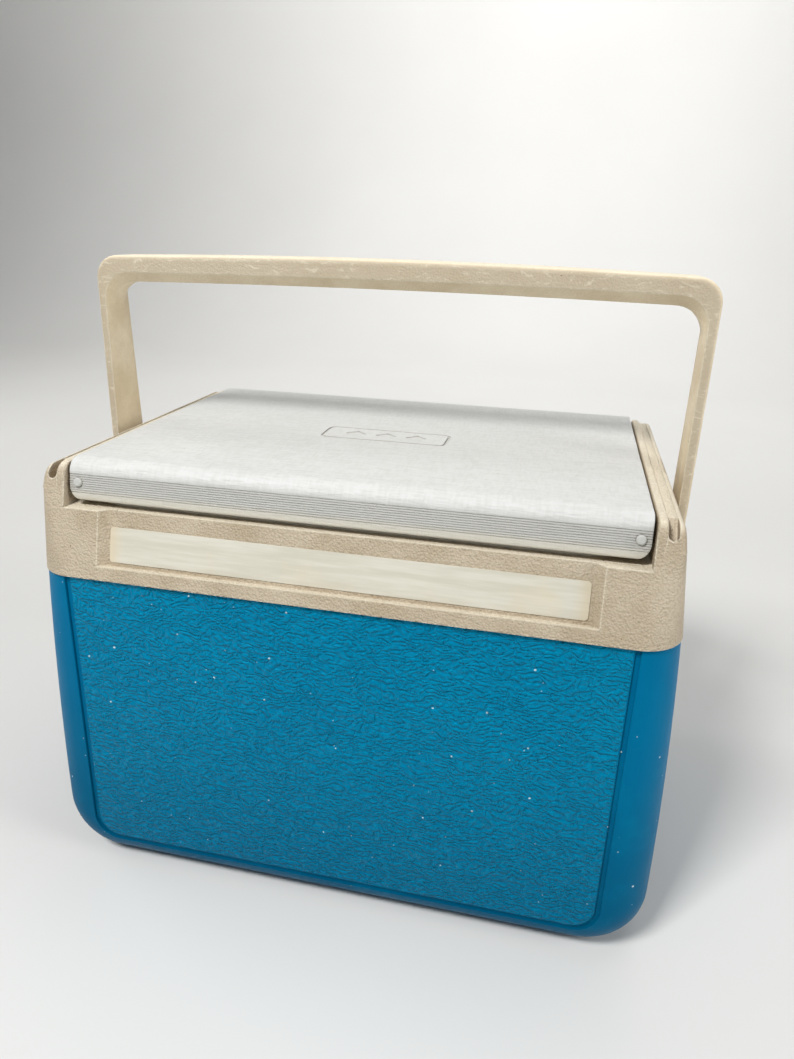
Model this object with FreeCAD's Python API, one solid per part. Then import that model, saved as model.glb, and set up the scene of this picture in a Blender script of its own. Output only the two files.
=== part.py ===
import FreeCAD, Part
import math
import os
from FreeCAD import Vector

# Small personal cooler, in millimetres. +X is to the right, +Y to the back, +Z up.
# The origin is at the centre of the base. The front faces -Y.

# Body
BODY_DEPTH = 190.6          # front to back at the floor
BODY_TOP = 155.0            # top edge of the outer shell, where the collar starts
HALF_WIDTH_TOP = 137.4      # half width of the shell at its top edge
HALF_WIDTH_LOW = 141.8      # half width of the shell just above the bottom corners
BOTTOM_CORNER = 30.0        # radius of the bottom corners, seen from the front
FACE_EDGE = 17.0            # radius round the front and back faces
FACE_LEAN = 1.5             # degrees that the front and back faces lean in going up
SHELL_WALL = 2.5

# Front and back panel groove
PANEL_HALF = 120.5
PANEL_BOTTOM = 14.5
PANEL_CORNER = 12.0
GROOVE_WIDTH = 2.2
GROOVE_DEPTH = 1.1
FIELD_DEPTH = 0.35          # the panel inside the groove is this much lower than the margins

# Collar
COLLAR_HALF_LOW = 137.9
COLLAR_HALF_TOP = 131.8
COLLAR_FRONT_LOW = -92.6
COLLAR_FRONT_TOP = -80.4
COLLAR_BACK_LOW = 92.2
COLLAR_BACK_TOP = 88.6
COLLAR_CORNER = 18.5        # corner radius at the collar's bottom edge
CHEEK_BASE = 191.0          # height where the corner radius has shrunk to CHEEK_EDGE
CHEEK_TOP = 201.0           # top of the cheeks beside the lid
CHEEK_EDGE = 2.6            # rounding of the cheeks' outer edges
CORNER_STEP = 0.5           # the corners below CHEEK_BASE are rounder by this
CHEEK_FRONT = 7.0           # rounding of the cheeks' top front corner, seen from the side
CHEEK_INNER = 121.8         # inner face of the cheeks
LIP_WIDTH = 3.8             # raised inner lip of each cheek
LIP_RISE = 1.3
LIP_FRONT = 1.0             # how far the lip stands out of the cheek's front, at its top
LIP_EDGE = 1.1              # rounding of the lip's edges
CHANNEL_WIDTH = 3.9
CHANNEL_DEPTH = 0.5
POCKET_HALF = 2.0           # half width of the pocket at the front of a cheek
POCKET_TILT = 42.0          # degrees that the pocket tilts down to the front
SHELF = 184.0               # shelf under the lid
SHELF_THICK = 4.0
SKIRT_WALL = 3.5
SKIRT_CORNER = 9.0

# Recess in the front of the collar, with a label on its floor
RECESS_HALF = 105.3
RECESS_SLOPE = 3.6          # width of the sloping ends
RECESS_DEPTH = 3.4
RECESS_BOTTOM = 160.9
LABEL_HALF = 100.8
LABEL_LOW = 162.9
LABEL_HIGH = 177.7
LABEL_THICK = 0.35

# Inner liner
LINER_HALF_X = 116.5        # outside, at the mouth
LINER_HALF_Y = 72.0
LINER_TAPER = 3.0           # narrowing from mouth to floor, each side
LINER_WALL = 1.8
LINER_FLOOR = 20.0          # underside of the liner's floor
LINER_CORNER = 20.0
LINER_FLOOR_EDGE = 9.0
RIM_WIDTH = 4.6
RIM_THICK = 1.8

# Lid
LID_HALF = 120.5
LID_BOTTOM = 186.7
LID_TOP = 204.3
LID_FRONT_LOW = -81.4
LID_FRONT_HIGH = -78.0
LID_BACK = 86.6
LID_WALL = 2.2
LID_END_CORNER = 6.0
DIP_START = 60.0            # the lid's top dips between these distances back
DIP_MIDDLE = 71.0
DIP_END = 80.0
DIP_DEPTH = 0.5
ORNAMENT_HALF = 31.0        # sunk border in the middle of the lid, half length
ORNAMENT_FRONT = -10.0
ORNAMENT_BACK = 11.0
ORNAMENT_LINE = 1.2
ORNAMENT_DEPTH = 0.5
LOZENGE_PITCH = 15.0
LOZENGE_LENGTH = 11.0
LOZENGE_WIDTH = 10.0
RIB_LOW = 189.9
RIB_PITCH = 0.95
RIB_COUNT = 9
RIB_RADIUS = 0.3
PLUG_HALF_X = 110.5
PLUG_HALF_Y = 66.0
PLUG_BOTTOM = 176.0
PLUG_CORNER = 16.0
TRAY_THICK = 2.4
STUD_X = 116.6
STUD_Z = 194.3
STUD_RADIUS = 2.0
STUD_DEPTH = 2.0
STUD_OUT = 1.0
STUD_EDGE = 0.9             # rounding of a stud's head

# Lid hinge
HINGE_Y = 79.5
HINGE_Z = 194.3
HINGE_PIN = 2.5
HINGE_CLEAR = 0.06
HINGE_BOSS = 5.5

# Handle
PIVOT_Z = 174.0
HANDLE_TOP = 283.9          # top of the grip bar at its ends
HANDLE_CROWN = 2.1          # extra height of the bar at the middle
OPENING_CROWN = 1.2
HANDLE_OUT = 142.9          # outer face of the legs
LEG_THICK = 4.4
LEG_BELLY = 0.7             # how far the legs' inner faces swell at mid depth
BAR_EDGE = 7.4              # thickness of the grip bar at its front and back edges
BAR_BELLY = 4.6             # how far the grip swells down at mid depth
BAR_DEPTH = 18.6
GRIP_FLAT = 4.0             # half width of the flat band inside the handle's opening
GRIP_REACH = 9.5            # where the opening's flare ends, in front and behind
HANDLE_EDGE = 2.4           # rounding of the handle's outer edges
LEG_DEPTH_LOW = 25.6
HANDLE_CORNER = 11.0
OPENING_CORNER = 13.0
PIVOT_PIN = 4.0
PIVOT_CLEAR = 0.06
PIVOT_HEAD = 7.0
HEAD_THICK = 1.8
HEAD_RECESS = 2.0
LEG_END = 12.8
WASHER_BOSS = 9.0
WASHER_GAP = 0.3

# Foam filling plug in the base
BASE_RECESS = 1.2
BASE_RECESS_HALF_X = 98.0
BASE_RECESS_HALF_Y = 62.0
BASE_RECESS_CORNER = 14.0
PLUG_HOLE = 9.0
PLUG_HEAD = 12.0
PLUG_HEAD_THICK = 0.9
PLUG_STEM = 3.5

FAR = 200.0                 # well outside the cooler, for cutting tools


def rounded_wire(points, radii):
    """Closed wire through points, each corner rounded to its radius."""
    edges = []
    count = len(points)
    ends = []
    for i in range(count):
        here = points[i]
        before = (points[i - 1] - here).normalize()
        after = (points[(i + 1) % count] - here).normalize()
        radius = radii[i]
        if radius <= 0:
            ends.append((here, None, here))
            continue
        half = before.getAngle(after) / 2
        reach = radius / math.tan(half)
        bisector = (before + after).normalize()
        centre = here + bisector * (radius / math.sin(half))
        start = here + before * reach
        stop = here + after * reach
        middle = centre - bisector * radius
        ends.append((start, middle, stop))
    for i in range(count):
        start, middle, stop = ends[i]
        if middle is not None:
            edges.append(Part.Arc(start, middle, stop).toShape())
        following = ends[(i + 1) % count][0]
        if stop.distanceToPoint(following) > 1e-6:
            edges.append(Part.LineSegment(stop, following).toShape())
    return Part.Wire(edges)


def prism_x(outline, radii, low, high):
    """Prism along X from (y, z) corners."""
    wire = rounded_wire([Vector(low, y, z) for y, z in outline], radii)
    return Part.Face(wire).extrude(Vector(high - low, 0, 0))


def prism_y(outline, radii, low, high):
    """Prism along Y from (x, z) corners."""
    wire = rounded_wire([Vector(x, low, z) for x, z in outline], radii)
    return Part.Face(wire).extrude(Vector(0, high - low, 0))


def prism_z(outline, radii, low, high):
    """Prism along Z from (x, y) corners."""
    wire = rounded_wire([Vector(x, y, low) for x, y in outline], radii)
    return Part.Face(wire).extrude(Vector(0, 0, high - low))


def rectangle(half_x, low_y, high_y):
    return [(-half_x, low_y), (half_x, low_y), (half_x, high_y), (-half_x, high_y)]


def box(low, high):
    size = [h - l for l, h in zip(low, high)]
    return Part.makeBox(size[0], size[1], size[2], Vector(*low))


def cylinder_x(radius, low, high, y, z):
    return Part.makeCylinder(radius, high - low, Vector(low, y, z), Vector(1, 0, 0))


def both_sides(shape):
    """The shape and its mirror image on the other side."""
    return [shape, shape.mirror(Vector(0, 0, 0), Vector(1, 0, 0))]


def one_solid(shape):
    """The single solid of a boolean result."""
    clean = shape.removeSplitter()
    return clean.Solids[0] if len(clean.Solids) == 1 else clean


def frustum(low, high):
    """Ruled solid between two rounded outlines, each (outline, corner radius, z)."""
    wires = []
    for outline, radius, z in (low, high):
        wires.append(rounded_wire([Vector(x, y, z) for x, y in outline], [radius] * 4))
    return Part.makeLoft(wires, True, True)


# ---------------------------------------------------------------- outer shell

def face_y(z):
    """Distance from the middle to the front or back face at height z."""
    return BODY_DEPTH / 2 - z * math.tan(math.radians(FACE_LEAN))


def shell_outline(inset, top):
    """Front view of the body: bowed sides, round bottom corners, open upwards to top."""
    side = HALF_WIDTH_LOW - inset
    drop = HALF_WIDTH_LOW - HALF_WIDTH_TOP
    rise = BODY_TOP - BOTTOM_CORNER
    radius = (rise ** 2 + drop ** 2) / (2 * drop) - inset
    angle = math.asin((top - BOTTOM_CORNER) / radius)
    centre = side - radius

    def on_side(a, sign):
        return Vector(sign * (centre + radius * math.cos(a)), 0, BOTTOM_CORNER + radius * math.sin(a))

    corner = BOTTOM_CORNER - inset
    diagonal = corner * math.sqrt(0.5)
    flat = side - corner
    edges = []
    for sign in (1, -1):
        low = on_side(0, sign)
        edges.append(Part.Arc(on_side(angle, sign), on_side(angle / 2, sign), low).toShape())
        middle = Vector(sign * (flat + diagonal), 0, BOTTOM_CORNER - diagonal)
        edges.append(Part.Arc(low, middle, Vector(sign * flat, 0, inset)).toShape())
    edges.append(Part.LineSegment(Vector(flat, 0, inset), Vector(-flat, 0, inset)).toShape())
    edges.append(Part.LineSegment(on_side(angle, 1), on_side(angle, -1)).toShape())
    return Part.Wire(Part.sortEdges(edges)[0])


def body_solid(inset, top):
    """The body's outer form, moved inwards by inset and cut flat at top."""
    over = top + 30
    wire = shell_outline(inset, over)
    wire.translate(Vector(0, -BODY_DEPTH, 0))
    block = Part.Face(wire).extrude(Vector(0, 2 * BODY_DEPTH, 0))
    low = face_y(-10) - inset
    high = face_y(over + 10) - inset
    sides = [(-low, -10), (low, -10), (high, over + 10), (-high, over + 10)]
    block = block.common(prism_x(sides, [0] * 4, -FAR, FAR))
    rim = []
    for edge in block.Edges:
        middle = edge.CenterOfMass
        ends = [v.Point for v in edge.Vertexes]
        same_face = abs(middle.y) > face_y(middle.z) - inset - 1.0
        below_top = max(p.z for p in ends) < over - 1 or min(p.z for p in ends) < over - 1
        if same_face and below_top:
            rim.append(edge)
    block = block.makeFillet(FACE_EDGE - inset, rim)
    return block.common(box((-FAR, -FAR, -1), (FAR, FAR, top)))


def panel_outline(grow):
    """Prism through the body round the grained panel, wider than it by grow."""
    over = BODY_TOP + 20
    half = PANEL_HALF + grow
    low = PANEL_BOTTOM - grow
    corner = PANEL_CORNER + grow
    points = [(-half, low), (half, low), (half, over), (-half, over)]
    return prism_y(points, [corner, corner, 0, 0], -FAR, FAR)


def face_layer(sign, depth):
    """The outermost layer of the front (-1) or back (1) face, depth thick."""
    low = -5
    over = BODY_TOP + 20
    points = [(sign * (face_y(low) + 2), low), (sign * (face_y(low) - depth), low),
              (sign * (face_y(over) - depth), over), (sign * (face_y(over) + 2), over)]
    return prism_x(points, [0] * 4, -FAR, FAR)


def panel_groove(sign):
    """Fine groove round the grained panel."""
    ring = panel_outline(GROOVE_WIDTH / 2).cut(panel_outline(-GROOVE_WIDTH / 2))
    return ring.common(face_layer(sign, GROOVE_DEPTH))


def panel_field(sign):
    """The panel inside the groove, a little lower than the margins."""
    return panel_outline(0).common(face_layer(sign, FIELD_DEPTH))


def outer_shell():
    shell = body_solid(0, BODY_TOP).cut(body_solid(SHELL_WALL, BODY_TOP + 5))
    for sign in (-1, 1):
        shell = shell.cut(panel_groove(sign))
        shell = shell.cut(panel_field(sign))
    shell = shell.cut(base_recess())
    hole = Part.makeCylinder(PLUG_HOLE, 10, Vector(0, 0, -1))
    return one_solid(shell.cut(hole))


def base_recess():
    """Shallow recess in the base, so that the body stands on a flat border."""
    plan = rectangle(BASE_RECESS_HALF_X, -BASE_RECESS_HALF_Y, BASE_RECESS_HALF_Y)
    return prism_z(plan, [BASE_RECESS_CORNER] * 4, -1, BASE_RECESS)


def fill_plug():
    head = Part.makeCylinder(PLUG_HEAD, PLUG_HEAD_THICK, Vector(0, 0, BASE_RECESS - PLUG_HEAD_THICK))
    stem = Part.makeCylinder(PLUG_HOLE, PLUG_STEM, Vector(0, 0, BASE_RECESS))
    return one_solid(head.fuse(stem))


# --------------------------------------------------------------------- liner

def liner_form(inset, top):
    """The liner's outside, moved inwards by inset, from its floor up to top."""
    def outline(z):
        part = (z - LINER_FLOOR) / (SHELF - LINER_FLOOR)
        narrow = LINER_TAPER * (1 - part) + inset
        return rectangle(LINER_HALF_X - narrow, -LINER_HALF_Y + narrow, LINER_HALF_Y - narrow)

    low = LINER_FLOOR + inset
    corner = LINER_CORNER - inset
    form = frustum((outline(low), corner, low), (outline(top), corner, top))
    bottom = [e for e in form.Edges if e.BoundBox.ZMax < low + 0.01]
    return form.makeFillet(LINER_FLOOR_EDGE - inset, bottom)


def inner_liner():
    rim_top = SHELF + RIM_THICK
    outside = liner_form(0, SHELF)
    rim = prism_z(rectangle(LINER_HALF_X + RIM_WIDTH, -LINER_HALF_Y - RIM_WIDTH,
                            LINER_HALF_Y + RIM_WIDTH), [LINER_CORNER + RIM_WIDTH] * 4, SHELF, rim_top)
    liner = outside.fuse(rim)
    return one_solid(liner.cut(liner_form(LINER_WALL, rim_top + 2)))


# -------------------------------------------------------------------- collar

def front_y(z):
    """The collar's leaning front face at height z."""
    part = (z - BODY_TOP) / (CHEEK_TOP - BODY_TOP)
    return COLLAR_FRONT_LOW + part * (COLLAR_FRONT_TOP - COLLAR_FRONT_LOW)


def collar_half(z):
    """The collar's leaning side face at height z."""
    part = (z - BODY_TOP) / (CHEEK_TOP - BODY_TOP)
    return COLLAR_HALF_LOW + part * (COLLAR_HALF_TOP - COLLAR_HALF_LOW)


def back_y(z):
    """The collar's back face at height z."""
    part = (z - BODY_TOP) / (CHEEK_TOP - BODY_TOP)
    return COLLAR_BACK_LOW + part * (COLLAR_BACK_TOP - COLLAR_BACK_LOW)


def collar_section(z):
    return rectangle(collar_half(z), front_y(z), back_y(z))


def cheek_block():
    """Upper part of the collar, rounded along its outer edges."""
    low = CHEEK_BASE
    top = CHEEK_TOP
    side = [(front_y(low), low), (front_y(top), top), (back_y(top), top), (back_y(low), low)]
    block = prism_x(side, [0, CHEEK_FRONT, 4, 0], -FAR, FAR)
    front = [(-collar_half(low), low), (collar_half(low), low), (collar_half(top), top),
             (-collar_half(top), top)]
    block = block.common(prism_y(front, [0] * 4, -FAR, FAR))
    rim = []
    for edge in block.Edges:
        middle = edge.CenterOfMass
        outside = abs(middle.x) > collar_half(middle.z) - 0.5
        if outside and edge.BoundBox.ZMax > low + 0.1:
            rim.append(edge)
    return block.makeFillet(CHEEK_EDGE, rim)


def collar_form():
    low = (collar_section(BODY_TOP), COLLAR_CORNER, BODY_TOP)
    high = (collar_section(CHEEK_BASE), CHEEK_EDGE + CORNER_STEP, CHEEK_BASE)
    return frustum(low, high).fuse(cheek_block())


def cheek_lip():
    """Raised inner lip along the top and down the front of a cheek."""
    low = SHELF + 2
    top = CHEEK_TOP + LIP_RISE
    back = COLLAR_BACK_TOP - 0.2
    outline = [(front_y(low) + 0.3, low), (front_y(top) - LIP_FRONT, top), (back, top),
               (back, low)]
    lip = prism_x(outline, [0, CHEEK_FRONT, 3, 0], CHEEK_INNER, CHEEK_INNER + LIP_WIDTH)
    edges = []
    for edge in lip.Edges:
        if edge.BoundBox.XLength < 0.01 and edge.BoundBox.ZMax > low + 1:
            edges.append(edge)
    return lip.makeFillet(LIP_EDGE, edges)


def cheek_channel():
    """Shallow channel along the top of a cheek, outside its lip."""
    start = CHEEK_INNER + LIP_WIDTH
    return box((start, front_y(CHEEK_TOP) + 4, CHEEK_TOP - CHANNEL_DEPTH),
               (start + CHANNEL_WIDTH, 100, CHEEK_TOP + 5))


def cheek_pocket():
    """Deep round-ended pocket that runs down the front end of a cheek."""
    half = POCKET_HALF
    slot = prism_z([(-half, -6.5), (half, -6.5), (half, 11), (-half, 11)], [half - 0.05] * 4, -3.2, 10)
    slot.rotate(Vector(0, 0, 0), Vector(1, 0, 0), POCKET_TILT)
    middle = CHEEK_INNER + LIP_WIDTH + half
    slot.translate(Vector(middle, front_y(CHEEK_TOP) + 4.6, CHEEK_TOP - 2.2))
    return slot


def front_recess():
    """Wide recess with sloping ends, following the leaning front face."""
    lean = math.atan2(COLLAR_FRONT_TOP - COLLAR_FRONT_LOW, CHEEK_TOP - BODY_TOP)
    outer = RECESS_HALF + RECESS_SLOPE
    inner = RECESS_HALF - RECESS_SLOPE
    depth = RECESS_DEPTH
    plan = [(-outer, -depth), (-RECESS_HALF, 0), (-inner, depth), (inner, depth),
            (RECESS_HALF, 0), (outer, -depth)]
    low = (RECESS_BOTTOM - BODY_TOP) / math.cos(lean)
    tool = prism_z(plan, [0, 0, 2.0, 2.0, 0, 0], low, low + 60)
    tool.rotate(Vector(0, 0, 0), Vector(1, 0, 0), -math.degrees(lean))
    tool.translate(Vector(0, COLLAR_FRONT_LOW, BODY_TOP))
    return tool


def handle_boss():
    """Solid boss inside the collar's skirt that takes a handle pin."""
    return cylinder_x(WASHER_BOSS, CHEEK_INNER + 1, collar_half(PIVOT_Z) - 1, 0, PIVOT_Z)


def washer_face():
    """Round raised face on the collar's side, against the handle's leg."""
    outer = HANDLE_OUT - LEG_THICK - LEG_BELLY - WASHER_GAP
    return cylinder_x(WASHER_BOSS, collar_half(CHEEK_TOP) - 2, outer, 0, PIVOT_Z)


def collar_hollow():
    """Space inside the collar's skirt, below the shelf."""
    top = SHELF - SHELF_THICK
    half = collar_half(top) - SKIRT_WALL
    back = back_y(top) - SKIRT_WALL
    front = front_y(top) + RECESS_DEPTH + SKIRT_WALL
    hollow = prism_z(rectangle(half, front, back), [SKIRT_CORNER] * 4, BODY_TOP, top)
    for boss in both_sides(handle_boss()):
        hollow = hollow.cut(boss)
    return hollow


def pin_hole():
    return cylinder_x(PIVOT_PIN, CHEEK_INNER + 3, HANDLE_OUT + 1, 0, PIVOT_Z)


def collar():
    form = collar_form()
    for side in both_sides(cheek_channel()):
        form = form.cut(side)
    for side in both_sides(cheek_lip()):
        form = form.fuse(side)
    for side in both_sides(cheek_pocket()):
        form = form.cut(side)
    form = form.cut(box((-CHEEK_INNER, -FAR, SHELF), (CHEEK_INNER, FAR, FAR + SHELF)))
    form = form.cut(front_recess())
    form = form.cut(collar_hollow())
    form = form.cut(liner_form(0, SHELF + 5))
    for side in both_sides(washer_face()):
        form = form.fuse(side)
    for side in both_sides(pin_hole()):
        form = form.cut(side)
    for side in both_sides(cylinder_x(HINGE_PIN, CHEEK_INNER - 1, CHEEK_INNER + 8, HINGE_Y, HINGE_Z)):
        form = form.cut(side)
    return one_solid(form)


def front_label():
    lean = math.atan2(COLLAR_FRONT_TOP - COLLAR_FRONT_LOW, CHEEK_TOP - BODY_TOP)
    low = (LABEL_LOW - BODY_TOP) / math.cos(lean)
    high = (LABEL_HIGH - BODY_TOP) / math.cos(lean)
    outline = [(-LABEL_HALF, low), (LABEL_HALF, low), (LABEL_HALF, high), (-LABEL_HALF, high)]
    label = prism_y(outline, [1.5] * 4, RECESS_DEPTH - LABEL_THICK, RECESS_DEPTH)
    label.rotate(Vector(0, 0, 0), Vector(1, 0, 0), -math.degrees(lean))
    label.translate(Vector(0, COLLAR_FRONT_LOW, BODY_TOP))
    return label


def body_foam():
    cavity = body_solid(SHELL_WALL, BODY_TOP)
    foam = cavity.fuse(collar_hollow())
    foam = foam.cut(liner_form(0, SHELF))
    foam = foam.cut(Part.makeCylinder(PLUG_HOLE, BASE_RECESS + PLUG_STEM + 1.3))
    return one_solid(foam)


# ----------------------------------------------------------------------- lid

def lid_form(inset):
    """The lid's outer form, moved inwards by inset."""
    front_low = LID_FRONT_LOW + inset
    front_high = LID_FRONT_HIGH + inset
    back = LID_BACK - inset
    top = LID_TOP - inset
    bottom = LID_BOTTOM - (1 if inset else 0)
    profile = [(front_low, bottom), (front_high, top), (DIP_START, top), (DIP_MIDDLE, top - DIP_DEPTH),
               (DIP_END, top + 0.2), (back, top - 0.1), (back - 0.6, bottom + 4), (back - 5, bottom)]
    radii = [1.0, 7.0 - inset, 30, 12, 20, 3.0 - inset * 0.5, 4, 3]
    form = prism_x(profile, radii, -LID_HALF + inset, LID_HALF - inset)
    half = LID_HALF - inset
    corner = LID_END_CORNER - inset * 0.5
    over = top + (3 if inset else 0.3)
    ends = [(-half, bottom), (half, bottom), (half, over), (-half, over)]
    form = form.common(prism_y(ends, [corner, corner, 1.6, 1.6], -FAR, FAR))
    plan = rectangle(half, front_low - 1, back)
    return form.common(prism_z(plan, [1.0, 1.0, 5.0, 5.0], bottom - 1, top + 3))


def rib_cuts():
    """Fine grooves that leave ribs along the lid's front band."""
    cuts = []
    rise = LID_TOP - LID_BOTTOM
    for i in range(RIB_COUNT):
        z = RIB_LOW + i * RIB_PITCH
        y = LID_FRONT_LOW + (z - LID_BOTTOM) / rise * (LID_FRONT_HIGH - LID_FRONT_LOW)
        cuts.append(cylinder_x(RIB_RADIUS, -LID_HALF - 1, LID_HALF + 1, y - 0.05, z))
    return cuts


def stud(radius, out):
    """Stud let into the lid's front band, pointing out of the leaning face."""
    rise = LID_TOP - LID_BOTTOM
    y = LID_FRONT_LOW + (STUD_Z - LID_BOTTOM) / rise * (LID_FRONT_HIGH - LID_FRONT_LOW)
    lean = math.atan2(LID_FRONT_HIGH - LID_FRONT_LOW, rise)
    way = Vector(0, -math.cos(lean), math.sin(lean))
    base = Vector(STUD_X, y, STUD_Z) - way * STUD_DEPTH
    return Part.makeCylinder(radius, STUD_DEPTH + out, base, way)


def lid_studs():
    pin = stud(STUD_RADIUS, STUD_OUT)
    faces = sorted(pin.Faces, key=lambda f: f.CenterOfMass.y)
    pin = pin.makeFillet(STUD_EDGE, faces[0].Edges[:1])
    return Part.makeCompound(both_sides(pin))


def ornament():
    """Plain sunk border and three lozenges in the middle of the lid."""
    low = LID_TOP - ORNAMENT_DEPTH
    high = LID_TOP + 1
    line = ORNAMENT_LINE
    outer = rectangle(ORNAMENT_HALF, ORNAMENT_FRONT, ORNAMENT_BACK)
    inner = rectangle(ORNAMENT_HALF - line, ORNAMENT_FRONT + line, ORNAMENT_BACK - line)
    border = prism_z(outer, [4.0] * 4, low, high)
    cut = [border.cut(prism_z(inner, [4.0 - line] * 4, low, high))]
    y = (ORNAMENT_FRONT + ORNAMENT_BACK) / 2
    for i in (-1, 0, 1):
        x = LOZENGE_PITCH * i
        lozenge = [(x - LOZENGE_LENGTH / 2, y), (x, y - LOZENGE_WIDTH / 2),
                   (x + LOZENGE_LENGTH / 2, y), (x, y + LOZENGE_WIDTH / 2)]
        cut.append(prism_z(lozenge, [0.6] * 4, low, high))
    return cut


def lid_void():
    """Space inside the lid's cover, open below."""
    void = lid_form(LID_WALL)
    for boss in both_sides(cylinder_x(HINGE_BOSS, LID_HALF - 12, LID_HALF, HINGE_Y, HINGE_Z)):
        void = void.cut(boss)
    return void.common(box((-FAR, -FAR, LID_BOTTOM), (FAR, FAR, LID_TOP)))


def hinge_bore():
    return cylinder_x(HINGE_PIN + HINGE_CLEAR, LID_HALF - 9, LID_HALF + 1, HINGE_Y, HINGE_Z)


def lid_cover():
    cover = lid_form(0).cut(lid_void())
    for cut in rib_cuts() + ornament():
        cover = cover.cut(cut)
    for side in both_sides(stud(STUD_RADIUS, 3.0)) + both_sides(hinge_bore()):
        cover = cover.cut(side)
    return one_solid(cover)


def plug_form(inset, top):
    half_x = PLUG_HALF_X - inset
    half_y = PLUG_HALF_Y - inset
    corner = PLUG_CORNER - inset
    low = (rectangle(half_x - 1.5, -half_y + 1.5, half_y - 1.5), corner, PLUG_BOTTOM + inset)
    high = (rectangle(half_x, -half_y, half_y), corner, top)
    return frustum(low, high)


def lid_tray():
    plate = lid_void().common(box((-FAR, -FAR, LID_BOTTOM), (FAR, FAR, LID_BOTTOM + TRAY_THICK)))
    form = plate.fuse(plug_form(0, LID_BOTTOM + 0.5))
    hollow = plug_form(LINER_WALL, LID_BOTTOM + TRAY_THICK)
    return one_solid(form.cut(hollow))


def lid_foam():
    upper = lid_void().common(box((-FAR, -FAR, LID_BOTTOM + TRAY_THICK), (FAR, FAR, LID_TOP)))
    foam = upper.fuse(plug_form(LINER_WALL, LID_BOTTOM + TRAY_THICK))
    for side in both_sides(stud(STUD_RADIUS, 3.0)):
        foam = foam.cut(side)
    return one_solid(foam)


def hinge_pins():
    pin = cylinder_x(HINGE_PIN, LID_HALF - 8, CHEEK_INNER + 8, HINGE_Y, HINGE_Z)
    return Part.makeCompound(both_sides(pin))


# -------------------------------------------------------------------- handle

def bail_outline(half, top, crown, corner, foot, y):
    """Closed front view of a bail: straight legs, round corners and a crowned bar."""
    left_start = Vector(-half, y, top - corner)
    left_stop = Vector(-half + corner, y, top)
    right_start = Vector(half - corner, y, top)
    right_stop = Vector(half, y, top - corner)
    swing = corner * (1 - math.sqrt(0.5))
    left_mid = Vector(-half + swing, y, top - swing)
    right_mid = Vector(half - swing, y, top - swing)
    edges = [
        Part.LineSegment(Vector(-half, y, foot), left_start).toShape(),
        Part.Arc(left_start, left_mid, left_stop).toShape(),
        Part.Arc(left_stop, Vector(0, y, top + crown), right_start).toShape(),
        Part.Arc(right_start, right_mid, right_stop).toShape(),
        Part.LineSegment(right_stop, Vector(half, y, foot)).toShape(),
        Part.LineSegment(Vector(half, y, foot), Vector(-half, y, foot)).toShape(),
    ]
    return Part.Wire(edges)


def handle_opening():
    """The opening of the bail: narrow at mid depth, flaring to the front and back."""
    foot = PIVOT_Z - 40
    wide_half = HANDLE_OUT - LEG_THICK
    wide_top = HANDLE_TOP - BAR_EDGE
    narrow_half = wide_half - LEG_BELLY
    narrow_top = wide_top - BAR_BELLY
    flat = GRIP_FLAT
    reach = GRIP_REACH
    opening = None
    for y0, y1 in ((-reach, -flat), (-flat, flat), (flat, reach)):
        wires = []
        for y in (y0, y1):
            narrow = abs(y) <= flat
            half = narrow_half if narrow else wide_half
            top = narrow_top if narrow else wide_top
            wires.append(bail_outline(half, top, OPENING_CROWN, OPENING_CORNER, foot, y))
        piece = Part.makeLoft(wires, True, True)
        opening = piece if opening is None else opening.fuse(piece)
    for sign in (-1, 1):
        near, far = sorted((sign * reach, sign * 40))
        slab = Part.Face(bail_outline(wide_half, wide_top, OPENING_CROWN, OPENING_CORNER, foot, near))
        opening = opening.fuse(slab.extrude(Vector(0, far - near, 0)))
    return opening


def handle_side():
    """Side view of the handle: legs that widen downwards to round ends."""
    top = HANDLE_TOP + HANDLE_CROWN + 2
    half_top = BAR_DEPTH / 2
    half_low = LEG_DEPTH_LOW / 2
    points = [(-half_low, PIVOT_Z - LEG_END), (half_low, PIVOT_Z - LEG_END), (half_top, top),
              (-half_top, top)]
    return prism_x(points, [LEG_END - 0.5, LEG_END - 0.5, 0, 0], -HANDLE_OUT - 1, HANDLE_OUT + 1)


def handle():
    foot = PIVOT_Z - LEG_END - 2
    outer = Part.Face(bail_outline(HANDLE_OUT, HANDLE_TOP, HANDLE_CROWN, HANDLE_CORNER, foot, -40))
    bail = outer.extrude(Vector(0, 80, 0)).common(handle_side())
    bail = bail.makeFillet(HANDLE_EDGE, outer_edges(bail))
    bail = bail.cut(handle_opening())
    for side in both_sides(cylinder_x(PIVOT_PIN + PIVOT_CLEAR, 130, 150, 0, PIVOT_Z)):
        bail = bail.cut(side)
    for side in both_sides(head_recess()):
        bail = bail.cut(side)
    return one_solid(bail)


def outer_edges(bail):
    """Edges along the outside of the bail, front and back."""
    found = []
    for edge in bail.Edges:
        middle = edge.CenterOfMass
        flat_in_y = edge.BoundBox.XLength > 1 or edge.BoundBox.ZLength > 1
        above_foot = middle.z > PIVOT_Z - LEG_END + 0.2
        if flat_in_y and above_foot and abs(middle.y) > BAR_DEPTH / 2 - 1.5:
            found.append(edge)
    return found


def head_recess():
    return cylinder_x(PIVOT_HEAD + 0.3, HANDLE_OUT - HEAD_RECESS, HANDLE_OUT + 2, 0, PIVOT_Z)


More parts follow.
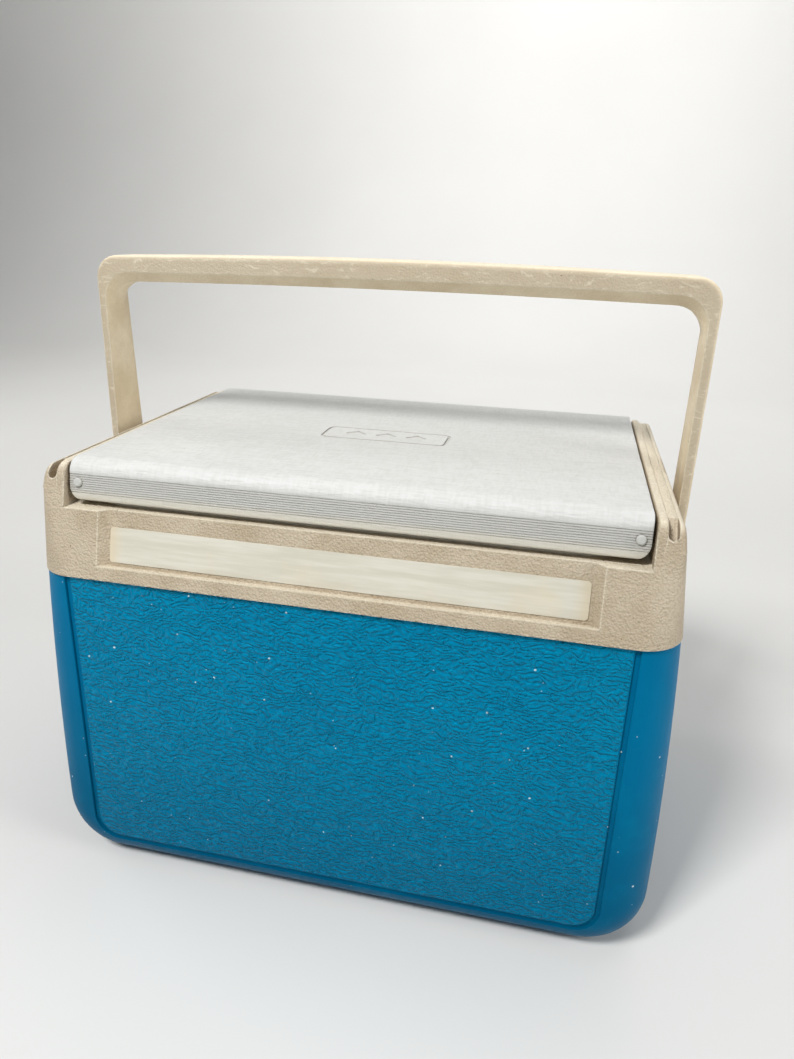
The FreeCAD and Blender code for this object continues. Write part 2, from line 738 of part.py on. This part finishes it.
def handle_pins():
    stem = cylinder_x(PIVOT_PIN, CHEEK_INNER + 3, HANDLE_OUT - 0.5, 0, PIVOT_Z)
    head = cylinder_x(PIVOT_HEAD, HANDLE_OUT - HEAD_RECESS + 0.15,
                      HANDLE_OUT - HEAD_RECESS + 0.15 + HEAD_THICK, 0, PIVOT_Z)
    pin = one_solid(stem.fuse(head))
    rim = [e for e in pin.Edges if e.BoundBox.XMin > HANDLE_OUT - 0.1]
    pin = pin.makeFillet(0.6, rim)
    return Part.makeCompound(both_sides(pin))


PARTS = {
    "outer_shell": outer_shell,
    "body_foam": body_foam,
    "inner_liner": inner_liner,
    "collar": collar,
    "front_label": front_label,
    "fill_plug": fill_plug,
    "lid_cover": lid_cover,
    "lid_tray": lid_tray,
    "lid_foam": lid_foam,
    "lid_studs": lid_studs,
    "hinge_pins": hinge_pins,
    "handle": handle,
    "handle_pins": handle_pins,
}

os.makedirs("parts", exist_ok=True)
for name, make in PARTS.items():
    shape = make()
    shape.exportStep(os.path.join("parts", name + ".step"))
    print(name, shape.isValid(), len(shape.Solids), round(shape.Volume / 1000, 1))
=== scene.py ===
import math

import bpy
from mathutils import Euler, Matrix, Vector, noise


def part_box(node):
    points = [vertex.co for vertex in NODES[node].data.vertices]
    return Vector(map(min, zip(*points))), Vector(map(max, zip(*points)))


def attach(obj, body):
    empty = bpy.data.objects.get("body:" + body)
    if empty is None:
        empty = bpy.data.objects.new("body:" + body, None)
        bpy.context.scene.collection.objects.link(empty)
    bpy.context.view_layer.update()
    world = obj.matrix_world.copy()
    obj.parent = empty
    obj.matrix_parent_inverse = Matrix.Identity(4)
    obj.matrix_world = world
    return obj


# A small personal cooler with a bail handle, dressed around its CAD frame.
# Lengths are in metres unless a name or a comment says otherwise.

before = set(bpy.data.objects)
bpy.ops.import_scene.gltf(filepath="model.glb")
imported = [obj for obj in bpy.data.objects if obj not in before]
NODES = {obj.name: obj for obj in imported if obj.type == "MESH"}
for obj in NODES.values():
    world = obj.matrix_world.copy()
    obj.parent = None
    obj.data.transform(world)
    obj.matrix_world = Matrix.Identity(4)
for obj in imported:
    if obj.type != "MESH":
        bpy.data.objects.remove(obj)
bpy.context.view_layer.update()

_, SHELL_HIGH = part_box("outer_shell")
LID_LOW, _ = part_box("lid_cover")
_, LABEL_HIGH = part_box("front_label")

MM = 0.001


def rgb(red, green, blue):
    """Linear colour from 8-bit display values, by the sRGB curve."""
    out = []
    for value in (red, green, blue):
        v = value / 255
        out.append(v / 12.92 if v <= 0.04045 else ((v + 0.055) / 1.055) ** 2.4)
    return (*out, 1.0)


# --------------------------------------------------------------------- colours

# Each teal's low shade is painted shade, used near the floor.
TEAL_WALL = {"pale": rgb(0, 112, 154), "deep": rgb(0, 100, 142), "low": rgb(0, 78, 110)}
TEAL_PANEL = {"pale": rgb(0, 126, 165), "deep": rgb(0, 111, 151), "low": rgb(0, 92, 128)}
TEAL_HAZE = rgb(0, 130, 168)
TEAL_RIM_HIGHLIGHT = rgb(0, 168, 210)
TEAL_GLOSS = (0.03, 0.7, 1.0, 1.0)
SCUFF = rgb(214, 226, 228)

CREAM_COLLAR = (rgb(195, 182, 160), rgb(177, 162, 138), rgb(150, 124, 92))
CREAM_HANDLE = (rgb(231, 217, 189), rgb(211, 193, 160), rgb(178, 152, 116))
CREAM_TOP_LIGHT = rgb(240, 230, 208)
CREAM_WORN_HIGHLIGHT = rgb(242, 234, 212)
CREAM_FRONT_SHADE = rgb(172, 160, 140)
CREAM_SCRATCH = rgb(222, 212, 192)
CREAM_DIRT = rgb(96, 76, 52)

LID_DEEP = rgb(202, 203, 200)
LID_PALE = rgb(213, 213, 210)
LID_THREAD = rgb(190, 190, 185)
LID_RIB_SHADE = rgb(184, 184, 179)
LID_LOW_BAND = rgb(206, 197, 172)
LID_CORNER_SHADE = rgb(150, 140, 120)
LID_MARK = rgb(120, 110, 96)

LABEL_PALE = rgb(213, 210, 197)
LABEL_DEEP = rgb(200, 196, 180)
LABEL_BROWN = rgb(214, 198, 160)
LABEL_END = rgb(212, 196, 164)
LABEL_SPECK = rgb(110, 96, 74)
LABEL_END_WIDTH = 0.007

LINER_PALE = rgb(232, 232, 228)
LINER_DEEP = rgb(214, 213, 206)
LINER_CORNER_SHADE = rgb(176, 168, 148)
LINER_MARK = rgb(130, 124, 112)

FOAM_PALE = rgb(244, 232, 190)
FOAM_DEEP = rgb(222, 202, 150)

FLOOR_DEEP = rgb(214, 213, 210)
FLOOR_PALE = rgb(222, 221, 218)


# ------------------------------------------------------------------ materials

CORNER_SAMPLES = 6
BEVEL_SAMPLES = 4
SPECK_CORE = 0.6    # share of a speck's radius that is solid; the rest fades
MIX_A, MIX_B, MIX_COLOUR = 6, 7, 2    # the Mix node's colour sockets


class Surface:
    """A Principled material and short calls for the nodes that feed it."""

    def __init__(self, name, roughness, specular):
        self.material = bpy.data.materials.new(name)
        self.material.use_nodes = True
        self.tree = self.material.node_tree
        self.tree.nodes.clear()
        self.shader = self.add("ShaderNodeBsdfPrincipled")
        self.shader.inputs["Roughness"].default_value = roughness
        self.shader.inputs["Specular IOR Level"].default_value = specular
        output = self.add("ShaderNodeOutputMaterial")
        self.link(self.shader.outputs[0], output.inputs["Surface"])
        self.place = self.add("ShaderNodeTexCoord").outputs["Object"]

    def add(self, kind, **settings):
        node = self.tree.nodes.new(kind)
        for key, value in settings.items():
            setattr(node, key, value)
        return node

    def link(self, output, socket):
        self.tree.links.new(output, socket)

    def put(self, socket, value):
        if isinstance(value, bpy.types.NodeSocket):
            self.link(value, socket)
        else:
            socket.default_value = value

    def stretched(self, x, y, z, place=None):
        """The place scaled by its own factor along each axis."""
        node = self.add("ShaderNodeVectorMath", operation="MULTIPLY")
        self.link(place or self.place, node.inputs[0])
        node.inputs[1].default_value = (x, y, z)
        return node.outputs[0]

    def noise(self, per_metre=1.0, detail=2.0, rough=0.5, place=None):
        node = self.add("ShaderNodeTexNoise")
        self.link(place or self.place, node.inputs["Vector"])
        node.inputs["Scale"].default_value = per_metre
        node.inputs["Detail"].default_value = detail
        node.inputs["Roughness"].default_value = rough
        return node.outputs["Fac"]

    def warped(self, per_metre, amount):
        """The place, pushed about by noise, in metres."""
        source = self.add("ShaderNodeTexNoise")
        self.link(self.place, source.inputs["Vector"])
        source.inputs["Scale"].default_value = per_metre
        centred = self.add("ShaderNodeVectorMath", operation="SUBTRACT")
        self.link(source.outputs["Color"], centred.inputs[0])
        centred.inputs[1].default_value = (0.5, 0.5, 0.5)
        scaled = self.add("ShaderNodeVectorMath", operation="SCALE")
        self.link(centred.outputs[0], scaled.inputs[0])
        scaled.inputs["Scale"].default_value = amount
        total = self.add("ShaderNodeVectorMath", operation="ADD")
        self.link(self.place, total.inputs[0])
        self.link(scaled.outputs[0], total.inputs[1])
        return total.outputs[0]

    def cells(self, per_metre, place=None):
        node = self.add("ShaderNodeTexVoronoi", feature="F1")
        self.link(place or self.place, node.inputs["Vector"])
        node.inputs["Scale"].default_value = per_metre
        return node

    def math(self, operation, a, b=0.0):
        node = self.add("ShaderNodeMath", operation=operation)
        self.put(node.inputs[0], a)
        self.put(node.inputs[1], b)
        return node.outputs[0]

    def times(self, value, factor):
        return self.math("MULTIPLY", value, factor)

    def ramp(self, value, low, high, out_low=0.0, out_high=1.0):
        """A smooth step from out_low at low to out_high at high."""
        node = self.add("ShaderNodeMapRange", interpolation_type="SMOOTHSTEP")
        self.link(value, node.inputs["Value"])
        node.inputs["From Min"].default_value = low
        node.inputs["From Max"].default_value = high
        node.inputs["To Min"].default_value = out_low
        node.inputs["To Max"].default_value = out_high
        return node.outputs["Result"]

    def fall(self, value, low, high):
        """1 up to low, falling to 0 at high."""
        return self.ramp(value, low, high, 1.0, 0.0)

    def near_base(self, base, start, end, strength):
        """strength up to start above the height base, fading to 0 at end above it."""
        return self.ramp(self.axis("Z"), base + start, base + end, strength, 0.0)

    def mix(self, share, a, b):
        node = self.add("ShaderNodeMix", data_type="RGBA")
        self.put(node.inputs[0], share)
        self.put(node.inputs[MIX_A], a)
        self.put(node.inputs[MIX_B], b)
        return node.outputs[MIX_COLOUR]

    def over(self, colour, mask, amount, top):
        """colour with top laid over it where mask is 1, at the given strength."""
        return self.mix(self.times(mask, amount), colour, top)

    def axis(self, name):
        node = self.add("ShaderNodeSeparateXYZ")
        self.link(self.place, node.inputs[0])
        return node.outputs[name]

    def facing(self, name):
        """Part of the surface's own direction along one axis of its object."""
        node = self.add("ShaderNodeSeparateXYZ")
        self.link(self.add("ShaderNodeTexCoord").outputs["Normal"], node.inputs[0])
        return node.outputs[name]

    def hollow(self, distance):
        """1 in the open, falling towards 0 in corners and gaps."""
        node = self.add("ShaderNodeAmbientOcclusion", samples=CORNER_SAMPLES)
        node.inputs["Distance"].default_value = distance
        return node.outputs["AO"]

    def soft_edge(self, radius):
        """The normal with sharp edges rounded over."""
        node = self.add("ShaderNodeBevel", samples=BEVEL_SAMPLES)
        node.inputs["Radius"].default_value = radius
        return node.outputs["Normal"]

    def edges(self, soft):
        """0 on flat areas, rising on sharp edges."""
        flat = self.add("ShaderNodeNewGeometry").outputs["Normal"]
        dot = self.add("ShaderNodeVectorMath", operation="DOT_PRODUCT")
        self.link(soft, dot.inputs[0])
        self.link(flat, dot.inputs[1])
        return self.math("SUBTRACT", 1.0, dot.outputs["Value"])

    def bump(self, height, distance, strength=1.0, normal=None):
        node = self.add("ShaderNodeBump")
        self.link(height, node.inputs["Height"])
        node.inputs["Distance"].default_value = distance
        node.inputs["Strength"].default_value = strength
        if normal is not None:
            self.link(normal, node.inputs["Normal"])
        return node.outputs["Normal"]

    def crease(self, place, width):
        """0 on winding lines, 1 away from them."""
        centred = self.math("SUBTRACT", self.noise(detail=0.0, place=place), 0.5)
        return self.ramp(self.math("ABSOLUTE", centred), 0.0, width)

    def specks(self, per_metre, size, chance):
        """1 on small scattered dots. size is a share of a cell."""
        dots = self.cells(per_metre, place=self.warped(per_metre=900, amount=0.0006))
        near = self.fall(dots.outputs["Distance"], size * SPECK_CORE, size)
        pick = self.add("ShaderNodeSeparateColor")
        self.link(dots.outputs["Color"], pick.inputs[0])
        kept = self.math("LESS_THAN", pick.outputs[0], chance)
        return self.times(near, kept)

    def done(self, colour, normal, roughness=None):
        self.put(self.shader.inputs["Base Color"], colour)
        self.link(normal, self.shader.inputs["Normal"])
        if roughness is not None:
            self.link(roughness, self.shader.inputs["Roughness"])
        return self.material


def teal_leather(s, colour, fine):
    """Winding creases, with a painted highlight along each crease rim, for the grained panels.
    """
    bent = s.warped(per_metre=70, amount=0.009)
    long_lines = s.crease(s.stretched(230, 230, 540, bent), width=0.2)
    cross_lines = s.crease(s.stretched(460, 460, 300, bent), width=0.16)
    height = s.math("ADD", s.times(long_lines, 0.65), s.times(cross_lines, 0.35))
    # Painted highlight: the pads lightened along each crease rim towards pale teal.
    rim_highlight = s.times(s.ramp(height, 0.3, 0.55), s.fall(height, 0.6, 0.95))
    colour = s.over(colour, rim_highlight, 0.15, TEAL_RIM_HIGHLIGHT)
    normal = s.bump(height, distance=0.0009)
    return colour, s.bump(fine, distance=0.00008, strength=0.6, normal=normal)


def teal_plain(s, colour, fine):
    """Faint haze and soft edges, for the smooth walls."""
    haze = s.ramp(s.noise(per_metre=60, detail=4, rough=0.6), 0.5, 0.8)
    colour = s.over(colour, haze, 0.2, TEAL_HAZE)
    soft = s.soft_edge(radius=0.0006)
    return colour, s.bump(fine, distance=0.00006, strength=0.6, normal=soft)


def teal(name, grained):
    """Faded teal plastic, with painted shade darker towards the floor, and small white scuffs.
    """
    s = Surface(name, roughness=0.42, specular=0.3 if grained else 0.08)
    s.shader.inputs["Specular Tint"].default_value = TEAL_GLOSS
    shades = TEAL_PANEL if grained else TEAL_WALL
    colour = s.mix(s.noise(per_metre=22, detail=3), shades["deep"], shades["pale"])
    # Painted shade: the teal darkens towards its low shade near the floor.
    low = s.near_base(0.0, start=0.0, end=0.13, strength=0.75)
    colour = s.mix(low, colour, shades["low"])
    fine = s.noise(per_metre=1400, detail=2, rough=0.6)
    colour, normal = (teal_leather if grained else teal_plain)(s, colour, fine)
    large = s.specks(per_metre=85, size=0.05, chance=0.75)
    small = s.specks(per_metre=210, size=0.07, chance=0.32)
    marks = s.math("MAXIMUM", large, s.times(small, 0.6))
    colour = s.over(colour, marks, 0.85, SCUFF)
    rough = s.ramp(s.noise(per_metre=35, detail=3), 0.3, 0.7, 0.4, 0.5)
    return s.done(colour, normal, rough)


def front_shade_and_scratches(s, colour):
    """Painted shade on the front and back faces, with scratches on them."""
    turned = s.math("ABSOLUTE", s.facing("Y"))
    # Painted shade: faces turned to the front or back darkened towards grey.
    front_shade = s.ramp(turned, 0.6, 0.97, 0.0, 0.75)
    colour = s.mix(front_shade, colour, CREAM_FRONT_SHADE)
    bent = s.warped(per_metre=40, amount=0.02)
    threads = s.noise(detail=3, rough=0.6, place=s.stretched(90, 900, 700, bent))
    scratched = s.times(s.ramp(threads, 0.56, 0.68), front_shade)
    return s.over(colour, scratched, 0.7, CREAM_SCRATCH)


def cream(name, shades, pebble, shaded_front):
    """Aged pale moulded plastic: pebbled, with painted tan shade in corners, painted light on
    top, and edges lightened by wear and a painted highlight.
    """
    light, dark, grime_and_shade = shades
    s = Surface(name, roughness=0.55, specular=0.35)
    soft = s.soft_edge(radius=0.0009)
    patches = s.noise(per_metre=38, detail=4, rough=0.6)
    colour = s.mix(s.ramp(patches, 0.3, 0.7), dark, light)
    # Painted light: upward-facing surfaces lightened, as if lit from above.
    top_light = s.ramp(s.facing("Z"), 0.55, 0.95, 0.0, 0.7)
    colour = s.mix(top_light, colour, CREAM_TOP_LIGHT)
    if shaded_front:
        colour = front_shade_and_scratches(s, colour)
    bent = s.warped(per_metre=700, amount=0.0005)
    grains = s.cells(per_metre=1000, place=bent).outputs["Distance"]
    sand = s.times(s.noise(per_metre=1500, detail=2, rough=0.6), 0.7)
    height = s.math("SUBTRACT", sand, grains)
    pits = s.fall(height, -0.35, -0.05)
    colour = s.over(colour, pits, 0.16 * pebble, grime_and_shade)
    # Painted shade: corners and gaps darkened towards tan by ambient occlusion.
    corner_shade = s.fall(s.hollow(distance=0.004), 0.1, 0.6)
    colour = s.over(colour, corner_shade, 0.5, grime_and_shade)
    # Wear and painted highlight: sharp edges lightened towards pale cream.
    wear_and_highlight = s.ramp(s.edges(soft), 0.004, 0.07)
    colour = s.over(colour, wear_and_highlight, 0.75, CREAM_WORN_HIGHLIGHT)
    dirt = s.specks(per_metre=160, size=0.07, chance=0.3)
    colour = s.over(colour, dirt, 0.55, CREAM_DIRT)
    normal = s.bump(height, distance=0.0005 * pebble, strength=0.9, normal=soft)
    return s.done(colour, normal, s.ramp(patches, 0.3, 0.7, 0.48, 0.62))


def lid_plastic(name):
    """White plastic with a faint weave, painted shade greying the ribbed front strip, a tan
    lower edge and painted shade in the corners.
    """
    s = Surface(name, roughness=0.45, specular=0.4)
    soft = s.soft_edge(radius=0.0007)
    clouds = s.noise(per_metre=18, detail=3)
    colour = s.mix(clouds, LID_DEEP, LID_PALE)
    threads = s.noise(detail=2, rough=0.65, place=s.stretched(110, 780, 780))
    across = s.noise(detail=2, rough=0.6, place=s.stretched(720, 170, 170))
    weave = s.math("ADD", s.times(threads, 0.7), s.times(across, 0.5))
    colour = s.mix(s.ramp(weave, 0.5, 0.75, 0.0, 0.45), colour, LID_THREAD)
    # Painted shade: the ribbed front strip greyed, standing in for the shadows between its
    # ribs.
    rib_shade = s.near_base(LID_LOW.z, start=0.0105, end=0.0135, strength=0.75)
    colour = s.mix(rib_shade, colour, LID_RIB_SHADE)
    low_band = s.near_base(LID_LOW.z, start=0.001, end=0.006, strength=1.0)
    colour = s.over(colour, low_band, 0.5, LID_LOW_BAND)
    # Painted shade: corners and gaps of the lid darkened by ambient occlusion.
    corner_shade = s.fall(s.hollow(distance=0.004), 0.3, 0.9)
    colour = s.over(colour, corner_shade, 0.55, LID_CORNER_SHADE)
    marks = s.specks(per_metre=120, size=0.05, chance=0.25)
    colour = s.over(colour, marks, 0.5, LID_MARK)
    normal = s.bump(weave, distance=0.00045, normal=soft)
    return s.done(colour, normal, s.ramp(clouds, 0.3, 0.7, 0.5, 0.6))


def label_paper(name):
    """Blank pale label with level streaks, tanned towards its two ends."""
    s = Surface(name, roughness=0.5, specular=0.35)
    streaks = s.noise(detail=4, rough=0.6, place=s.stretched(30, 30, 420))
    colour = s.mix(s.ramp(streaks, 0.3, 0.7), LABEL_PALE, LABEL_DEEP)
    brown = s.ramp(s.noise(per_metre=26, detail=4, rough=0.6), 0.55, 0.8, 0.0, 0.4)
    colour = s.mix(brown, colour, LABEL_BROWN)
    sideways = s.math("ABSOLUTE", s.axis("X"))
    ends = s.ramp(sideways, LABEL_HIGH.x - LABEL_END_WIDTH, LABEL_HIGH.x, 0.0, 0.6)
    colour = s.mix(ends, colour, LABEL_END)
    marks = s.specks(per_metre=140, size=0.05, chance=0.2)
    colour = s.over(colour, marks, 0.6, LABEL_SPECK)
    return s.done(colour, s.bump(streaks, distance=0.00008, strength=0.6))


def liner_plastic(name):
    """Smooth white plastic, with painted shade in the corners."""
    s = Surface(name, roughness=0.4, specular=0.4)
    colour = s.mix(s.noise(per_metre=24, detail=4, rough=0.6), LINER_DEEP, LINER_PALE)
    # Painted shade: corners of the liner darkened by ambient occlusion.
    corner_shade = s.fall(s.hollow(distance=0.012), 0.3, 0.95)
    colour = s.over(colour, corner_shade, 0.4, LINER_CORNER_SHADE)
    marks = s.specks(per_metre=90, size=0.05, chance=0.3)
    colour = s.over(colour, marks, 0.4, LINER_MARK)
    ripple = s.noise(per_metre=900, detail=2)
    soft = s.soft_edge(radius=0.0006)
    return s.done(colour, s.bump(ripple, distance=0.00006, strength=0.6, normal=soft))


def rigid_foam(name):
    s = Surface(name, roughness=0.85, specular=0.2)
    beads = s.cells(per_metre=420).outputs["Distance"]
    colour = s.mix(beads, FOAM_PALE, FOAM_DEEP)
    return s.done(colour, s.bump(beads, distance=0.0005, strength=0.8))


def floor_paper(name):
    s = Surface(name, roughness=0.75, specular=0.2)
    colour = s.mix(s.noise(per_metre=3), FLOOR_DEEP, FLOOR_PALE)
    return s.done(colour, s.bump(s.noise(per_metre=600), distance=0.00005, strength=0.4))


def dress(material, *nodes):
    """Give one material to the meshes of the named CAD nodes."""
    for node in nodes:
        mesh = NODES[node].data
        mesh.materials.clear()
        mesh.materials.append(material)


def dress_all():
    dress(teal("teal_smooth", grained=False), "outer_shell")
    collar = cream("cream_collar", CREAM_COLLAR, pebble=1.0, shaded_front=False)
    dress(collar, "collar", "hinge_pins")
    handle = cream("cream_handle", CREAM_HANDLE, pebble=0.4, shaded_front=True)
    dress(handle, "handle", "handle_pins")
    dress(lid_plastic("lid_white"), "lid_cover", "lid_studs", "lid_tray")
    dress(label_paper("label_pale"), "front_label")
    dress(liner_plastic("liner_white"), "inner_liner", "fill_plug")
    dress(rigid_foam("foam_yellow"), "body_foam", "lid_foam")


def place_mesh(name, points, faces):
    """A smooth-shaded object with the given mesh, linked to the scene."""
    mesh = bpy.data.meshes.new(name)
    mesh.from_pydata(points, [], faces)
    mesh.shade_smooth()
    thing = bpy.data.objects.new(name, mesh)
    bpy.context.scene.collection.objects.link(thing)
    return thing


# -------------------------------------------------------------- grained panels

# Outline of the grained panels on the front and back of the shell
PANEL_HALF = 119.2 * MM
PANEL_LOW = 15.8 * MM
PANEL_TOP = SHELL_HIGH.z - 0.2 * MM
PANEL_CORNER = 10.8 * MM

# The shell's leaning face, and the shallow field in it that the sheets lie in
FACE_LEAN = math.radians(1.5)
FACE_AT_FLOOR = 95.3 * MM
FIELD_DEPTH = 0.35 * MM

# The sheets: mesh steps, and heights in mm above the field. A sheet starts below the field
# at its outline and reaches full height EDGE_WIDTH further in.
COLUMN_STEP = 0.6 * MM
ROW_STEP = 0.32 * MM
SHEET_MARGIN = 0.3 * MM
EDGE_WIDTH = 0.8 * MM
OUTLINE_MM = -0.06
CREASE_MM = 0.09
PAD_MM = 0.24

# The leather: (waves per metre, reach) of the two bends, then for each set of creases the
# waves per metre along X and Z, the width of a line and its share of the height
BROAD_BEND = (24, 0.011)
FINE_BEND = (160, 0.0008)
LONG_CREASES = (135, 400, 0.3, 0.7)
CROSS_CREASES = (250, 150, 0.22, 0.3)
CROSS_SEED_STEP = 9
SEED_PER_SIDE = 3.0

# noise_vector takes its start from the clock unless it is seeded, so that no two runs agree
GRAIN_SEED = 4


def inside_panel(x, z):
    """How far a point is inside the panel's outline, in metres; negative outside."""
    side = PANEL_HALF - abs(x)
    low = z - PANEL_LOW
    if side < PANEL_CORNER and low < PANEL_CORNER:
        return PANEL_CORNER - math.hypot(PANEL_CORNER - side, PANEL_CORNER - low)
    return min(side, low)


def crease(p, width):
    """0 on the winding lines where the noise changes sign, 1 away from them."""
    share = min(1.0, abs(noise.noise(p)) / width)
    return share * share * (3 - 2 * share)


def bend(p, waves, reach):
    return reach * noise.noise_vector(p * waves)


def creases(p, seed, along_x, along_z, width, share):
    return share * crease(Vector((p.x * along_x, p.y * along_z, seed)), width)


def leather(x, z, seed):
    """Height of the leather grain, from 0 in the creases to 1 on the pads."""
    p = Vector((x, z, seed))
    p += bend(p, *BROAD_BEND) + bend(p, *FINE_BEND)
    return creases(p, seed, *LONG_CREASES) + creases(p, seed + CROSS_SEED_STEP, *CROSS_CREASES)


def grain_sheet(name, sign):
    """Leather-grained skin lying in the shallow field inside the groove."""
    columns = round(2 * PANEL_HALF / COLUMN_STEP)
    rows = round((PANEL_TOP - PANEL_LOW) / ROW_STEP)
    points, index, faces = [], {}, []
    for j in range(rows + 1):
        z = PANEL_LOW + (PANEL_TOP - PANEL_LOW) * j / rows
        for i in range(columns + 1):
            x = -PANEL_HALF + 2 * PANEL_HALF * i / columns
            inside = inside_panel(x, z)
            if inside < -SHEET_MARGIN:
                continue
            grain = leather(x, z, sign * SEED_PER_SIDE)
            rise = min(1.0, max(0.0, inside / EDGE_WIDTH))
            height = OUTLINE_MM * MM + rise * (CREASE_MM + PAD_MM * grain) * MM
            face = FACE_AT_FLOOR - z * math.tan(FACE_LEAN) - FIELD_DEPTH
            index[i, j] = len(points)
            points.append((x, sign * (face + height), z))
    for j in range(rows):
        for i in range(columns):
            ring = [index.get(k) for k in ((i, j), (i + 1, j), (i + 1, j + 1), (i, j + 1))]
            if None not in ring:
                faces.append(ring if sign < 0 else ring[::-1])
    return place_mesh(name, points, faces)


def grained_panels():
    noise.seed_set(GRAIN_SEED)
    material = teal("teal_leather", grained=True)
    for name, sign in (("grain_front", -1), ("grain_back", 1)):
        sheet = grain_sheet(name, sign)
        sheet.data.materials.append(material)
        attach(sheet, "chest")


# ------------------------------------------------------------ floor and lights

WORLD_COLOUR = (0.93, 0.96, 1.0, 1.0)
WORLD_STRENGTH = 0.15

FLOOR_HALF = 3.0
FLOOR_FRONT = -2.2
FLOOR_BACK = 2.2
BACKDROP_HEIGHT = 3.2
SWEEP_RADIUS = 0.9
SWEEP_STEPS = 12

COOLER_MIDDLE = (0.0, 0.0, 0.12)
BACKDROP_MIDDLE = (0.0, 2.2, 0.7)

# name, place, target, size, watts
LIGHTS = (
    ("key", (-0.35, -0.75, 1.15), COOLER_MIDDLE, (0.3, 0.3), 15.0),
    ("top", (0.25, 0.25, 1.3), COOLER_MIDDLE, (0.7, 0.5), 2.6),
    ("right", (1.2, -0.3, 0.6), COOLER_MIDDLE, (0.5, 0.8), 8.0),
    ("left", (-1.2, 0.3, 0.6), COOLER_MIDDLE, (0.5, 0.8), 2.5),
    ("backdrop", (0.0, 0.9, 1.5), BACKDROP_MIDDLE, (1.6, 0.5), 26.0),
)


def sweep():
    """Pale floor that curves up into a backdrop far behind."""
    line = [(FLOOR_FRONT, 0.0)]
    for k in range(SWEEP_STEPS + 1):
        angle = math.radians(90 * k / SWEEP_STEPS)
        line.append((FLOOR_BACK - SWEEP_RADIUS + SWEEP_RADIUS * math.sin(angle),
                     SWEEP_RADIUS - SWEEP_RADIUS * math.cos(angle)))
    line.append((FLOOR_BACK, BACKDROP_HEIGHT))
    points = [(x, y, z) for y, z in line for x in (-FLOOR_HALF, FLOOR_HALF)]
    faces = [(2 * k, 2 * k + 1, 2 * k + 3, 2 * k + 2) for k in range(len(line) - 1)]
    floor = place_mesh("floor", points, faces)
    floor.data.materials.append(floor_paper("floor_paper"))


def area_light(name, place, target, size, watts):
    data = bpy.data.lights.new(name, "AREA")
    data.shape = "RECTANGLE"
    data.size, data.size_y = size
    data.energy = watts
    light = bpy.data.objects.new(name, data)
    light.location = place
    way = Vector(target) - Vector(place)
    light.rotation_euler = way.to_track_quat("-Z", "Y").to_euler()
    bpy.context.scene.collection.objects.link(light)


def studio():
    world = bpy.data.worlds.new("studio")
    world.use_nodes = True
    background = world.node_tree.nodes["Background"]
    background.inputs["Color"].default_value = WORLD_COLOUR
    background.inputs["Strength"].default_value = WORLD_STRENGTH
    bpy.context.scene.world = world
    for light in LIGHTS:
        area_light(*light)
    bpy.context.scene.view_settings.view_transform = "Standard"


# ---------------------------------------------------------------------- camera

# Fitted to points of the cooler in the photograph. The turns, in degrees about X, Y and Z,
# start from a camera that looks straight down.
SENSOR_MM = 36.0
LENS_MM = 25.836
NEAREST = 0.01
FARTHEST = 50.0
CAMERA_PLACE = (0.082852, -0.353734, 0.299099)
CAMERA_TURNS = (68.378489, -1.445565, 12.688217)


def camera():
    data = bpy.data.cameras.new("camera")
    data.sensor_width = SENSOR_MM
    data.lens = LENS_MM
    data.clip_start = NEAREST
    data.clip_end = FARTHEST
    eye = bpy.data.objects.new("camera", data)
    turns = Euler([math.radians(angle) for angle in CAMERA_TURNS])
    eye.matrix_world = Matrix.LocRotScale(CAMERA_PLACE, turns, None)
    bpy.context.scene.collection.objects.link(eye)
    bpy.context.scene.camera = eye


camera()
dress_all()
grained_panels()
sweep()
studio()
